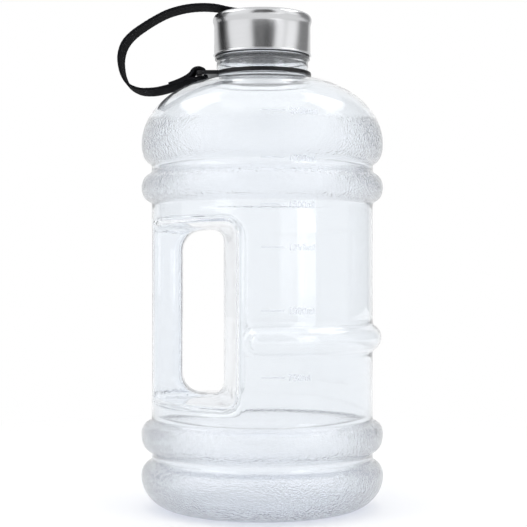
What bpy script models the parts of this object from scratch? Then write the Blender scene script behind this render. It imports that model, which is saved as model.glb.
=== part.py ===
"""Large clear water jug: blown body with a window handle, steel screw cap, neck ring and cap leash.

All sizes are metres, +Z is up, and the jug stands on z = 0 with its axis on the Z axis.
The handle, the ring's ear and the leash lie on the -X side.
"""
import math

import bmesh
import bpy
from mathutils import Vector

MM = 0.001

# Body: one blown shell, turned about Z, with ribs, a handle window and a neck.
WALL = 1.2 * MM
WALL_RADIUS = 59.5 * MM
RIB_RADIUS = 65.0 * MM
BASE_TOP = 25.2 * MM
BASE_WIDEST = 18.0 * MM
FOOT_RADIUS = 46.0 * MM
FOOT_WIDTH = 3.0 * MM
PUSH_UP = 4.5 * MM
LOWER_RIB = (46.8 * MM, 40.0 * MM, 30.7 * MM)
UPPER_RIB = (179.4 * MM, 171.7 * MM, 164.0 * MM)
DOME_FOOT = 184.5 * MM
DOME_WIDEST = 195.0 * MM
DOME_CENTRE_RADIUS = 18.0 * MM
DOME_HEIGHT = 36.0 * MM
TURN_STEPS = 48

# Neck, from the collar under the cap up to the rim.
COLLAR_RADIUS = 24.7 * MM
COLLAR_INNER_RADIUS = 23.0 * MM
COLLAR_FOOT = 230.6 * MM
BEAD_RADIUS = 25.7 * MM
BEAD_BOTTOM = 240.6 * MM
BEAD_TOP = 242.2 * MM
THREAD_ROOT_RADIUS = 22.9 * MM
BORE_RADIUS = 21.2 * MM
RIM_Z = 261.5 * MM

# Screw thread, the same pitch on the neck and in the cap.
THREAD_PITCH = 6.0 * MM
THREAD_STEPS_PER_TURN = 20
NECK_THREAD = {"radius": 22.8 * MM, "bead": 1.0 * MM, "bottom": 247.0 * MM, "turns": 1.6}
CAP_THREAD = {"radius": 24.2 * MM, "bead": 0.9 * MM, "bottom": 246.5 * MM, "turns": 1.5}

# Half-round grip rib that wraps the side away from the handle.
GRIP_RIB_Z = 91.5 * MM
GRIP_RIB_PATH_RADIUS = 57.0 * MM
GRIP_RIB_BEAD = 7.2 * MM
GRIP_RIB_HALF_ANGLE = math.radians(93.0)

# Handle window and the hollow grip that stands in it.
WINDOW_RIGHT = -20.8 * MM
WINDOW_BOTTOM = 61.0 * MM
WINDOW_TOP = 149.3 * MM
WINDOW_HALF_SPAN = 66.0 * MM
WINDOW_SIDE_DRAFT = 0.15
WINDOW_END_DRAFT = 0.055
WINDOW_CORNER = 6.0 * MM
GRIP_INNER_FACE = -43.0 * MM
GRIP_OUTER_FACE = -60.5 * MM
GRIP_HALF_DEPTH = 13.0 * MM
GRIP_CORNER = 7.0 * MM
GRIP_FLARE = 11.0 * MM
FAR_LEFT = -90.0 * MM

# Cap: a drawn steel shell over a threaded liner, with a gasket.
SHELL_RADIUS = 26.0 * MM
SHELL_SHOULDER_RADIUS = 26.7 * MM
SHELL_SHEET = 0.5 * MM
SHELL_TOP = 265.5 * MM
SHELL_BOTTOM = 243.0 * MM
SHOULDER_ROUND = 3.3 * MM
SHOULDER_END = 258.4 * MM
LINER_RADIUS = 25.2 * MM
LINER_INNER_RADIUS = 24.3 * MM
LINER_BOTTOM = 242.6 * MM
LINER_TOP = 264.7 * MM
LINER_DISC = 1.2 * MM
DISH_RADIUS = 7.5 * MM
DISH_DEPTH = 2.5 * MM
GASKET_RADII = (19.6 * MM, 23.6 * MM)
GASKET_Z = (261.8 * MM, 263.2 * MM)

# Neck ring with the ear that holds the leash.
RING_RADII = (25.05 * MM, 26.4 * MM)
RING_Z = (231.9 * MM, 234.1 * MM)
RING_CHAMFER = 0.4 * MM
EAR_END = -35.4 * MM
EAR_ROOT = -20.0 * MM
EAR_HALF_WIDTH = 12.0 * MM
EAR_CORNER = 3.0 * MM
SLOT_X = (-32.4 * MM, -29.3 * MM)
SLOT_HALF_WIDTH = 9.6 * MM

# Leash: flat webbing, its swivel rivet and the washer inside the cap.
STRAP_WIDTH = 18.0 * MM
STRAP_THICKNESS = 1.5 * MM
STRAP_STATIONS = 72
RIVET_SHANK_RADIUS = 1.8 * MM
RIVET_HEAD_RADIUS = 5.0 * MM
RIVET_HOLE_RADIUS = 2.3 * MM
RIVET_HEAD_Z = 267.7 * MM
WASHER_RADII = (2.1 * MM, 6.0 * MM)
WASHER_Z = (263.6 * MM, 264.6 * MM)

# The strap's middle line from its sewn tail, round the ear's bar, out over the shoulder and
# back to the rivet: x and z in millimetres, and the lean of its width in degrees.
STRAP_ROUTE = (
    (-50.2, 227.5, 4.0),
    (-44.0, 229.9, 3.0),
    (-39.8, 232.1, 2.0),
    (-37.0, 234.7, 0.0),
    (-34.0, 235.7, 0.0),
    (-31.2, 234.8, 0.0),
    (-30.4, 232.8, 0.0),
    (-31.4, 231.0, 0.0),
    (-34.2, 230.5, 0.0),
    (-39.1, 229.6, 2.0),
    (-47.2, 226.6, 4.0),
    (-55.3, 224.4, 4.5),
    (-60.7, 223.8, 4.5),
    (-66.1, 224.2, 3.0),
    (-71.5, 226.9, 0.0),
    (-74.7, 231.9, -2.5),
    (-76.1, 237.9, -4.0),
    (-76.1, 243.3, -4.5),
    (-74.2, 249.2, -4.0),
    (-69.9, 254.4, -2.5),
    (-63.4, 259.2, -1.5),
    (-56.3, 263.5, -1.0),
    (-49.9, 266.5, -1.0),
    (-41.8, 268.7, -1.0),
    (-33.7, 269.6, -1.0),
    (-25.6, 269.3, -1.0),
    (-18.5, 267.9, -0.5),
    (-12.5, 266.95, 0.0),
    (-7.5, 266.6, 0.0),
    (-3.0, 266.55, 0.0),
    (3.0, 266.55, 0.0),
    (9.0, 266.55, 0.0),
)


def clear_scene():
    """Remove every object the scene holds."""
    for item in list(bpy.data.objects):
        bpy.data.objects.remove(item, do_unlink=True)


def new_collection(name):
    group = bpy.data.collections.new(name)
    bpy.context.scene.collection.children.link(group)
    return group


def new_material(name, colour, roughness, metallic=0.0, alpha=1.0):
    material = bpy.data.materials.new(name)
    material.use_nodes = True
    shader = material.node_tree.nodes["Principled BSDF"]
    shader.inputs["Base Color"].default_value = (*colour, 1.0)
    shader.inputs["Roughness"].default_value = roughness
    shader.inputs["Metallic"].default_value = metallic
    shader.inputs["Alpha"].default_value = alpha
    return material


def new_object(name, mesh, group):
    item = bpy.data.objects.new(name, mesh)
    group.objects.link(item)
    return item


def as_cutter(item):
    """Keep a helper solid out of the model."""
    item.hide_render = True
    item.display_type = "WIRE"
    return item


def arc(centre, radii, start, end, steps):
    """Points on an elliptic arc in the (radius, z) plane, angles in degrees from +radius."""
    points = []
    for step in range(steps + 1):
        angle = math.radians(start + (end - start) * step / steps)
        points.append((centre[0] + radii[0] * math.cos(angle), centre[1] + radii[1] * math.sin(angle)))
    return points


def turned(name, profile, group, closed=False, steps=TURN_STEPS):
    """Spin a (radius, z) profile about Z; the profile runs down the outer side."""
    mesh = bpy.data.meshes.new(name)
    edges = [(i, i + 1) for i in range(len(profile) - 1)]
    if closed:
        edges.append((len(profile) - 1, 0))
    mesh.from_pydata([(radius, 0.0, z) for radius, z in profile], edges, [])
    item = new_object(name, mesh, group)
    screw = item.modifiers.new("turn", "SCREW")
    screw.angle = 2.0 * math.pi
    screw.steps = steps
    screw.render_steps = steps
    screw.use_merge_vertices = True
    screw.merge_threshold = 0.00001
    screw.use_smooth_shade = True
    return item


def loft(name, sections, group):
    """Join equal-length closed sections into one capped solid."""
    shape = bmesh.new()
    rings = [[shape.verts.new(point) for point in section] for section in sections]
    for ring, following in zip(rings, rings[1:]):
        for i, vertex in enumerate(ring):
            j = (i + 1) % len(ring)
            shape.faces.new((vertex, ring[j], following[j], following[i]))
    shape.faces.new(list(reversed(rings[0])))
    shape.faces.new(rings[-1])
    bmesh.ops.recalc_face_normals(shape, faces=shape.faces)
    mesh = bpy.data.meshes.new(name)
    shape.to_mesh(mesh)
    shape.free()
    return new_object(name, mesh, group)


def rounded_rectangle(low_a, high_a, low_b, high_b, corner, steps=4):
    """Corner points of a rounded rectangle in a plane (a, b)."""
    corners = (
        (high_a - corner, high_b - corner, 0),
        (low_a + corner, high_b - corner, 90),
        (low_a + corner, low_b + corner, 180),
        (high_a - corner, low_b + corner, 270),
    )
    points = []
    for centre_a, centre_b, start in corners:
        points += arc((centre_a, centre_b), (corner, corner), start, start + 90, steps)
    return points


def swept_tube(name, points, radii, bead, group):
    """A round rod along points, as a closed mesh; radii scale its bead at each point."""
    data = bpy.data.curves.new(name, "CURVE")
    data.dimensions = "3D"
    data.bevel_depth = bead
    data.bevel_resolution = 2
    data.use_fill_caps = True
    spline = data.splines.new("POLY")
    spline.points.add(len(points) - 1)
    for control, point, radius in zip(spline.points, points, radii):
        control.co = (*point, 1.0)
        control.radius = radius
    curve = new_object(name + "_guide", data, group)
    bpy.context.view_layer.update()
    depsgraph = bpy.context.evaluated_depsgraph_get()
    mesh = bpy.data.meshes.new_from_object(curve.evaluated_get(depsgraph))
    weld = bmesh.new()
    weld.from_mesh(mesh)
    bmesh.ops.remove_doubles(weld, verts=weld.verts, dist=0.000001)
    weld.to_mesh(mesh)
    weld.free()
    tube = new_object(name, mesh, group)
    tube.matrix_world = curve.matrix_world.copy()
    bpy.data.objects.remove(curve, do_unlink=True)
    return as_cutter(tube)


def combine(item, other, operation):
    boolean = item.modifiers.new(operation.lower(), "BOOLEAN")
    boolean.operation = operation
    boolean.solver = "EXACT"
    boolean.object = other


def smooth(item, angle=35.0):
    item.data.shade_smooth()
    item.data.set_sharp_from_angle(angle=math.radians(angle))


def body_profile(inset):
    """The body's (radius, z) outline from its neck down to the axis, set in by the wall."""
    dome_radii = (RIB_RADIUS - DOME_CENTRE_RADIUS - inset, DOME_HEIGHT - inset)
    neck = COLLAR_INNER_RADIUS if inset else COLLAR_RADIUS
    start = math.degrees(math.acos((neck - DOME_CENTRE_RADIUS) / dome_radii[0]))
    profile = arc((DOME_CENTRE_RADIUS, DOME_WIDEST), dome_radii, start, 0, 8)
    wall = WALL_RADIUS - inset
    bulge = RIB_RADIUS - WALL_RADIUS
    profile += arc((wall, DOME_WIDEST), (bulge, DOME_WIDEST - DOME_FOOT - inset), 0, -90, 4)[1:]
    for top, widest, bottom in (UPPER_RIB, LOWER_RIB):
        profile += arc((wall, widest), (bulge, top - widest - inset), 90, 0, 3)
        profile += arc((wall, widest), (bulge, widest - bottom - inset), 0, -90, 3)[1:]
    profile += arc((wall, BASE_WIDEST), (bulge, BASE_TOP - BASE_WIDEST - inset), 90, 0, 3)
    foot_radii = (RIB_RADIUS - FOOT_RADIUS - inset, BASE_WIDEST - inset)
    profile += arc((FOOT_RADIUS, BASE_WIDEST), foot_radii, 0, -90, 5)[1:]
    inner_foot = FOOT_RADIUS - FOOT_WIDTH
    profile.append((inner_foot, inset))
    profile += [(0.6 * inner_foot, 0.75 * PUSH_UP + inset), (0.0, PUSH_UP + inset)]
    return profile


def helix(thread, shift):
    """Points and end-tapered radii of a right-handed thread bead."""
    steps = round(thread["turns"] * THREAD_STEPS_PER_TURN)
    points = []
    radii = []
    for step in range(steps + 1):
        turn = step / THREAD_STEPS_PER_TURN
        angle = 2.0 * math.pi * turn
        z = thread["bottom"] + THREAD_PITCH * turn
        x = thread["radius"] * math.cos(angle + shift)
        points.append((x, thread["radius"] * math.sin(angle + shift), z))
        radii.append(min(1.0, 0.35 + 0.325 * min(step, steps - step)))
    return points, radii


def grip_rib(name, inset, group):
    steps = 30
    points = []
    for step in range(steps + 1):
        angle = GRIP_RIB_HALF_ANGLE * (2.0 * step / steps - 1.0)
        x = GRIP_RIB_PATH_RADIUS * math.cos(angle)
        points.append((x, GRIP_RIB_PATH_RADIUS * math.sin(angle), GRIP_RIB_Z))
    radii = [min(1.0, 0.55 + 0.25 * min(step, steps - step)) for step in range(steps + 1)]
    return swept_tube(name, points, radii, GRIP_RIB_BEAD - inset, group)


def handle_window(name, grow, group):
    """The C-shaped space round the grip; grow thickens it by the wall on every side."""
    sections = []
    for y in (-WINDOW_HALF_SPAN, 0.0, WINDOW_HALF_SPAN):
        right = WINDOW_RIGHT + WINDOW_SIDE_DRAFT * abs(y) + grow
        low = WINDOW_BOTTOM - WINDOW_END_DRAFT * abs(y) - grow
        high = WINDOW_TOP + WINDOW_END_DRAFT * abs(y) + grow
        outline = rounded_rectangle(FAR_LEFT, right, low, high, WINDOW_CORNER + grow)
        sections.append([(x, y, z) for x, z in outline])
    window = as_cutter(loft(name, sections, group))
    combine(window, grip_core(name + "_grip", grow, group), "DIFFERENCE")
    return window


def grip_core(name, shrink, group):
    """The grip's rounded bar, flared where it runs into the body."""
    flare = GRIP_FLARE + shrink
    low = WINDOW_BOTTOM - shrink
    high = WINDOW_TOP + shrink
    inner = GRIP_INNER_FACE - shrink
    stations = [(low - 12.0 * MM, inner + flare)]
    stations += [(low + dz, inner + dx) for dx, dz in flare_steps(flare)]
    stations += [(high - dz, inner + dx) for dx, dz in reversed(flare_steps(flare))]
    stations.append((high + 12.0 * MM, inner + flare))
    half = GRIP_HALF_DEPTH - shrink
    sections = []
    for z, right in stations:
        left = GRIP_OUTER_FACE + shrink
        outline = rounded_rectangle(left, right, -half, half, GRIP_CORNER - shrink)
        sections.append([(x, y, z) for x, y in outline])
    return as_cutter(loft(name, sections, group))


def flare_steps(flare, steps=4):
    """Offsets along a quarter round, from its wide end to its narrow end."""
    turns = [math.radians(90.0 * step / steps) for step in range(steps + 1)]
    return [(flare * (1.0 - math.sin(turn)), flare * (1.0 - math.cos(turn))) for turn in turns]


def make_body(group, cutters, material):
    neck = [
        (0.0, RIM_Z),
        (THREAD_ROOT_RADIUS - 0.5 * MM, RIM_Z),
        (THREAD_ROOT_RADIUS, RIM_Z - 0.5 * MM),
        (THREAD_ROOT_RADIUS, BEAD_TOP + 0.6 * MM),
        (BEAD_RADIUS - 0.5 * MM, BEAD_TOP),
        (BEAD_RADIUS, BEAD_TOP - 0.5 * MM),
        (BEAD_RADIUS, BEAD_BOTTOM + 0.5 * MM),
        (COLLAR_RADIUS, BEAD_BOTTOM - 0.2 * MM),
    ]
    body = turned("bottle_body", neck + body_profile(0.0), group)
    body.data.materials.append(material)
    combine(body, grip_rib("grip_rib_outer", 0.0, cutters), "UNION")
    points, radii = helix(NECK_THREAD, 0.0)
    combine(body, swept_tube("neck_thread", points, radii, NECK_THREAD["bead"], cutters), "UNION")
    combine(body, handle_window("window_outer", 0.0, cutters), "DIFFERENCE")

    bore = [
        (0.0, RIM_Z + 5.0 * MM),
        (BORE_RADIUS, RIM_Z + 5.0 * MM),
        (BORE_RADIUS, BEAD_TOP),
        (COLLAR_INNER_RADIUS, BEAD_BOTTOM - 1.5 * MM),
    ]
    cavity = as_cutter(turned("cavity", bore + body_profile(WALL), cutters))
    combine(cavity, grip_rib("grip_rib_inner", WALL, cutters), "UNION")
    combine(cavity, handle_window("window_inner", WALL, cutters), "DIFFERENCE")
    combine(body, cavity, "DIFFERENCE")
    return body


def make_shell(group, material):
    centre = (SHELL_SHOULDER_RADIUS - SHOULDER_ROUND, SHELL_TOP - SHOULDER_ROUND)
    outer = arc(centre, (SHOULDER_ROUND, SHOULDER_ROUND), 90, 0, 4)
    inner_round = SHOULDER_ROUND - SHELL_SHEET
    inner = arc(centre, (inner_round, inner_round), 0, 90, 4)
    inside = SHELL_RADIUS - SHELL_SHEET
    profile = [(RIVET_HOLE_RADIUS, SHELL_TOP)] + outer
    profile += [
        (SHELL_RADIUS, SHOULDER_END),
        (SHELL_RADIUS, SHELL_BOTTOM + 1.1 * MM),
        (SHELL_RADIUS + 0.3 * MM, SHELL_BOTTOM + 0.6 * MM),
        (SHELL_RADIUS + 0.2 * MM, SHELL_BOTTOM),
        (inside, SHELL_BOTTOM),
        (inside, SHOULDER_END),
    ]
    profile += inner + [(RIVET_HOLE_RADIUS, SHELL_TOP - SHELL_SHEET)]
    shell = turned("cap_shell", profile, group, closed=True)
    shell.data.materials.append(material)


def make_liner(group, cutters, material):
    outer_round = 2.0 * MM
    dish_top = LINER_TOP - DISH_DEPTH
    profile = [(0.0, dish_top), (DISH_RADIUS, dish_top), (DISH_RADIUS + 0.8 * MM, LINER_TOP)]
    corner = (LINER_RADIUS - outer_round, LINER_TOP - outer_round)
    profile += arc(corner, (outer_round, outer_round), 90, 0, 3)
    profile += [
        (LINER_RADIUS, LINER_BOTTOM),
        (LINER_INNER_RADIUS, LINER_BOTTOM),
        (LINER_INNER_RADIUS, LINER_TOP - LINER_DISC),
        (DISH_RADIUS + 1.6 * MM, LINER_TOP - LINER_DISC),
        (DISH_RADIUS + 0.8 * MM, dish_top - LINER_DISC),
        (0.0, dish_top - LINER_DISC),
    ]
    liner = turned("cap_liner", profile, group)
    liner.data.materials.append(material)
    points, radii = helix(CAP_THREAD, math.radians(150.0))
    combine(liner, swept_tube("cap_thread", points, radii, CAP_THREAD["bead"], cutters), "UNION")


def make_gasket(group, material):
    inner, outer = GASKET_RADII
    low, high = GASKET_Z
    edge = 0.3 * MM
    profile = [
        (inner, high),
        (outer - edge, high),
        (outer, high - edge),
        (outer, low + edge),
        (outer - edge, low),
        (inner, low),
    ]
    gasket = turned("cap_gasket", profile, group, closed=True)
    gasket.data.materials.append(material)


def make_neck_ring(group, cutters, material):
    inner, outer = RING_RADII
    low, high = RING_Z
    profile = [
        (inner, high),
        (outer - RING_CHAMFER, high),
        (outer, high - RING_CHAMFER),
        (outer, low + RING_CHAMFER),
        (outer - RING_CHAMFER, low),
        (inner, low),
    ]
    ring = turned("neck_ring", profile, group, closed=True)
    ring.data.materials.append(material)
    outline = rounded_rectangle(EAR_END, EAR_ROOT, -EAR_HALF_WIDTH, EAR_HALF_WIDTH, EAR_CORNER)
    ear_low = low + 0.05 * MM
    ear_high = high - 0.05 * MM
    sections = [[(x, y, z) for x, y in outline] for z in (ear_low, ear_high)]
    combine(ring, as_cutter(loft("ear_plate", sections, cutters)), "UNION")
    bore = [(0.0, high + MM), (inner, high + MM), (inner, low - MM), (0.0, low - MM)]
    combine(ring, as_cutter(turned("ring_bore", bore, cutters)), "DIFFERENCE")
    slot = rounded_rectangle(SLOT_X[0], SLOT_X[1], -SLOT_HALF_WIDTH, SLOT_HALF_WIDTH, MM, 2)
    sections = [[(x, y, z) for x, y in slot] for z in (low - MM, high + MM)]
    combine(ring, as_cutter(loft("ear_slot", sections, cutters)), "DIFFERENCE")


def spline_point(before, start, end, after, t):
    """Catmull-Rom interpolation between start and end."""
    bend = 2.0 * before - 5.0 * start + 4.0 * end - after
    twist = 3.0 * (start - end) + after - before
    return start + 0.5 * t * ((end - before) + t * (bend + t * twist))


def strap_stations():
    """Evenly spaced (point, lean) along the strap's middle line."""
    knots = [Vector((x * MM, z * MM, math.radians(lean))) for x, z, lean in STRAP_ROUTE]
    padded = [2.0 * knots[0] - knots[1]] + knots + [2.0 * knots[-1] - knots[-2]]
    fine = []
    for i in range(1, len(padded) - 2):
        for step in range(12):
            fine.append(spline_point(*padded[i - 1:i + 3], step / 12.0))
    fine.append(knots[-1])
    lengths = [0.0]
    for start, end in zip(fine, fine[1:]):
        lengths.append(lengths[-1] + (end - start).xy.length)
    stations = []
    cursor = 0
    for step in range(STRAP_STATIONS + 1):
        target = lengths[-1] * step / STRAP_STATIONS
        while cursor < len(fine) - 2 and lengths[cursor + 1] < target:
            cursor += 1
        part = (target - lengths[cursor]) / (lengths[cursor + 1] - lengths[cursor])
        stations.append(fine[cursor].lerp(fine[cursor + 1], min(part, 1.0)))
    return stations


def make_strap(group, cutters, material):
    stations = strap_stations()
    sections = []
    for i, station in enumerate(stations):
        before = stations[max(i - 1, 0)]
        after = stations[min(i + 1, len(stations) - 1)]
        along = Vector((after.x - before.x, 0.0, after.y - before.y)).normalized()
        side = Vector((0.0, 1.0, 0.0))
        lean = station.z
        width = side * math.cos(lean) + along.cross(side) * math.sin(lean)
        up = along.cross(width)
        middle = Vector((station.x, 0.0, station.y))
        half = width * STRAP_WIDTH / 2.0
        rise = up * STRAP_THICKNESS / 2.0
        sections.append([middle + half + rise, middle - half + rise,
                         middle - half - rise, middle + half - rise])
    strap = loft("leash_strap", sections, group)
    strap.data.materials.append(material)
    low = SHELL_TOP - MM
    high = RIVET_HEAD_Z + MM
    pin = [(0.0, high), (RIVET_HOLE_RADIUS, high), (RIVET_HOLE_RADIUS, low), (0.0, low)]
    combine(strap, as_cutter(turned("strap_eyelet", pin, cutters, steps=16)), "DIFFERENCE")


def make_rivet(group, steel):
    head = RIVET_HEAD_Z
    flare_top = 263.3 * MM
    profile = [
        (0.0, head + 1.4 * MM),
        (0.6 * RIVET_HEAD_RADIUS, head + 1.2 * MM),
        (RIVET_HEAD_RADIUS, head + 0.5 * MM),
        (RIVET_HEAD_RADIUS, head),
        (RIVET_SHANK_RADIUS, head),
        (RIVET_SHANK_RADIUS, flare_top),
        (RIVET_SHANK_RADIUS + 1.1 * MM, flare_top - 0.1 * MM),
        (RIVET_SHANK_RADIUS + 1.1 * MM, flare_top - 0.5 * MM),
        (0.0, flare_top - 0.6 * MM),
    ]
    rivet = turned("leash_rivet", profile, group, steps=24)
    rivet.data.materials.append(steel)
    inner, outer = WASHER_RADII
    low, high = WASHER_Z
    edge = 0.2 * MM
    ring = [(inner, high), (outer - edge, high), (outer, high - edge), (outer, low), (inner, low)]
    washer = turned("leash_washer", ring, group, closed=True, steps=24)
    washer.data.materials.append(steel)


def main():
    clear_scene()
    group = new_collection("water_jug")
    cutters = new_collection("water_jug_cutters")
    clear_plastic = new_material("clear_plastic", (0.90, 0.93, 0.96), 0.06, alpha=0.35)
    steel = new_material("brushed_steel", (0.66, 0.66, 0.68), 0.24, metallic=1.0)
    liner_plastic = new_material("liner_plastic", (0.02, 0.02, 0.025), 0.38)
    silicone = new_material("silicone", (0.72, 0.73, 0.74), 0.55)
    ring_plastic = new_material("ring_plastic", (0.015, 0.015, 0.018), 0.42)
    webbing = new_material("black_webbing", (0.018, 0.017, 0.02), 0.85)
    make_body(group, cutters, clear_plastic)
    make_shell(group, steel)
    make_liner(group, cutters, liner_plastic)
    make_gasket(group, silicone)
    make_neck_ring(group, cutters, ring_plastic)
    make_strap(group, cutters, webbing)
    make_rivet(group, steel)
    for item in group.objects:
        smooth(item)


main()
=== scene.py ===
"""Looks of a large clear water jug: blown body, steel screw cap, neck ring and webbing leash."""

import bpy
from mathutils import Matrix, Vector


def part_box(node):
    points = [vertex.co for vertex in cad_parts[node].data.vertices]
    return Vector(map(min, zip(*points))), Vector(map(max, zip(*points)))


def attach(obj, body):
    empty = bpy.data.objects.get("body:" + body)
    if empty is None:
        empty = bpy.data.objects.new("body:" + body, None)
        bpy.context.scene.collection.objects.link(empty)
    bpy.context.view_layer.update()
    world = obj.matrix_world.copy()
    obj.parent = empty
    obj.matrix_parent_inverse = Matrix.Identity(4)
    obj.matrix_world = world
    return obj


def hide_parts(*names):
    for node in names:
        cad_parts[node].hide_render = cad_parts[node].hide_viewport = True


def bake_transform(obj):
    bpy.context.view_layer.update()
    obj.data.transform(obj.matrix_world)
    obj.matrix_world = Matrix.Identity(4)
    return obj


bl_info = {
    "name": "Water jug",
    "version": (1, 0, 0),
    "blender": (4, 5, 0),
    "location": "3D View > Sidebar > Water jug",
    "description": "Builds the finished surfaces of a clear water jug round its packed frame",
    "category": "Object",
}

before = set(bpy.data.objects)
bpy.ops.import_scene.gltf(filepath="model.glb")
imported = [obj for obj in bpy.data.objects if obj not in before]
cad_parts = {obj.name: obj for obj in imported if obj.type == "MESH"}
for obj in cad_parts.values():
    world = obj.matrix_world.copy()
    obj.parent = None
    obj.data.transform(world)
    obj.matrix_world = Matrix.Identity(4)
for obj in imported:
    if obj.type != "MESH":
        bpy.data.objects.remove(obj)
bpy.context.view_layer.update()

import math

import bpy
import numpy as np
from mathutils import Vector

MM = 0.001
TURN = 2.0 * math.pi

# Body outline, the same driving sizes as the frame's body.
BODY_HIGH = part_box("bottle_body")[1]
RIB_RADIUS = float(BODY_HIGH[1])
RIM_Z = float(BODY_HIGH[2])
WALL_RADIUS = 59.5 * MM
BASE_TOP = 25.2 * MM
BASE_WIDEST = 18.0 * MM
FOOT_RADIUS = 46.0 * MM
FOOT_WIDTH = 3.0 * MM
PUSH_UP = 4.5 * MM
PUSH_UP_SHAPE = ((0.0, 1.0), (0.35, 0.93), (0.6, 0.75), (0.85, 0.35), (1.0, 0.0))
LOWER_RIB = (46.8 * MM, 40.0 * MM, 30.7 * MM)
UPPER_RIB = (179.4 * MM, 171.7 * MM, 164.0 * MM)
DOME_FOOT = 184.5 * MM
DOME_WIDEST = 195.0 * MM
DOME_CENTRE_RADIUS = 18.0 * MM
DOME_HEIGHT = 36.0 * MM
OUTLINE_STEP = 0.5 * MM
JOIN_Z = 236.0 * MM

# Neck: collar, support bead and thread.
COLLAR_RADIUS = 24.7 * MM
BEAD_RADIUS = 25.7 * MM
BEAD_Z = (240.6 * MM, 242.2 * MM)
THREAD_ROOT = 22.9 * MM
BORE_RADIUS = 21.2 * MM
THREAD_PITCH = 6.0 * MM
THREAD_FADE = 6.0 * MM
NECK_THREAD = {"radius": 22.8 * MM, "bead": 1.0 * MM, "bottom": 247.0 * MM, "turns": 1.6}

# Grip rib on the side away from the handle.
GRIP_RIB_Z = 91.5 * MM
GRIP_RIB_PATH = 57.0 * MM
GRIP_RIB_BEAD = 7.2 * MM
GRIP_RIB_HALF_ANGLE = math.radians(91.3)
GRIP_RIB_BLEND = 1.6 * MM

# Handle window and the hollow grip in it.
WINDOW_RIGHT = -20.8 * MM
WINDOW_Z = (61.0 * MM, 149.3 * MM)
WINDOW_SIDE_DRAFT = 0.15
WINDOW_END_DRAFT = 0.055
WINDOW_CORNER = 6.0 * MM
PINCH_ROUND = 3.0 * MM
GRIP_X = (-60.5 * MM, -43.0 * MM)
GRIP_HALF_DEPTH = 13.0 * MM
GRIP_CORNER = 7.0 * MM
GRIP_FLARE = 11.0 * MM
GRIP_BLEND = 3.0 * MM
WINDOW_BLEND = 3.2 * MM
FAR_LEFT = -90.0 * MM

# Cap.
CAP_LOW, CAP_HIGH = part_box("cap_shell")
SHELL_TOP = float(CAP_HIGH[2])
SHELL_BOTTOM = float(CAP_LOW[2])
SHELL_SHOULDER = float(CAP_HIGH[1])
SHELL_RADIUS = 26.0 * MM
SHELL_SHEET = 0.5 * MM
SHOULDER_ROUND = 3.3 * MM
SHOULDER_END = 258.4 * MM
RIVET_HOLE = 2.3 * MM
TOP_FLAT = 12.0 * MM
HEM_RADII = (0.42 * MM, 0.45 * MM)
HEM_OUT = 0.02 * MM
HEM_TOP = 1.2 * MM

# Leash.
STRAP_WIDTH = 18.0 * MM
STRAP_THICKNESS = 1.5 * MM
STRAP_STEP = 0.42 * MM
STRAP_POINTS_ACROSS = 61
STRAP_EDGE = 0.06
STITCH_SPACING = 1.25
RIVET_HEAD_RADIUS = 5.0 * MM
RIVET_HEAD_Z = 267.7 * MM
RIVET_HEAD_RIM = 0.5 * MM
RIVET_CHAMFER = 0.1 * MM
RIVET_SHANK_RADIUS = 1.8 * MM
RIVET_TAIL_RADIUS = 2.9 * MM
RIVET_TAIL_Z = (262.8 * MM, 263.2 * MM)

# Volume marks: height and number.
VOLUME_MARKS = (
    (73.9 * MM, "750ml"),
    (107.2 * MM, "1000ml"),
    (139.0 * MM, "1250ml"),
    (160.4 * MM, "1500ml"),
    (183.8 * MM, "1750ml"),
    (207.0 * MM, "2000ml"),
)

# The strap's middle line: x and z in metres and the lean of its width in degrees.
TAIL_ROUTE = (
    (-0.0502, 0.2273, 4.0),
    (-0.0444, 0.2294, 3.0),
    (-0.0404, 0.2313, 2.0),
    (-0.0383, 0.2328, 1.0),
    (-0.0366, 0.2349, 0.0),
    (-0.034, 0.2358, 0.0),
    (-0.0312, 0.2349, 0.0),
    (-0.0304, 0.2328, 0.0),
)
STRAP_ROUTE = (
    (-0.0304, 0.2328, 0.0),
    (-0.0314, 0.231, 0.0),
    (-0.0342, 0.2305, 0.0),
    (-0.0391, 0.2296, 2.0),
    (-0.0472, 0.2266, 4.0),
    (-0.0553, 0.2244, 4.5),
    (-0.0607, 0.2238, 4.5),
    (-0.0661, 0.2242, 3.0),
    (-0.0715, 0.2269, 0.0),
    (-0.0747, 0.2319, -2.5),
    (-0.0761, 0.2379, -4.0),
    (-0.0761, 0.2433, -4.5),
    (-0.0742, 0.2492, -4.0),
    (-0.0699, 0.2544, -2.5),
    (-0.0634, 0.2592, -1.5),
    (-0.0563, 0.2635, -1.0),
    (-0.0499, 0.2665, -1.0),
    (-0.0418, 0.2687, -1.0),
    (-0.0337, 0.2696, -1.0),
    (-0.0256, 0.2693, -1.0),
    (-0.0185, 0.2679, -0.5),
    (-0.0125, 0.26695, 0.0),
    (-0.0075, 0.2666, 0.0),
    (-0.003, 0.26655, 0.0),
    (0.003, 0.26655, 0.0),
    (0.009, 0.26655, 0.0),
)

# Heights of the pebbled bands in metres: from, to and softness.
PEBBLED_BANDS = (
    (-0.01, 0.0262, 0.002),
    (0.0300, 0.0475, 0.002),
    (0.1635, 0.1800, 0.002),
    (0.1850, 0.2058, 0.003),
)

# The camera's place across and its tilt in degrees from straight down.
CAMERA_X = 0.00065
CAMERA_TILT = 90.35

# The floor's own shading ends at the first radius and is plain white beyond the fade.
FLOOR_SHADED = 0.16
FLOOR_FADE = 0.30

# Lamps: name, place, size and share of the softbox power.
SOFTBOXES = (
    ("softbox_right", (0.62, -0.62, 0.42), (0.34, 0.75), 1.0),
    ("softbox_left", (-0.70, -0.50, 0.45), (0.34, 0.75), 1.0),
    ("softbox_top", (0.0, -0.05, 1.05), (0.9, 0.9), 1.5),
)

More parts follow.
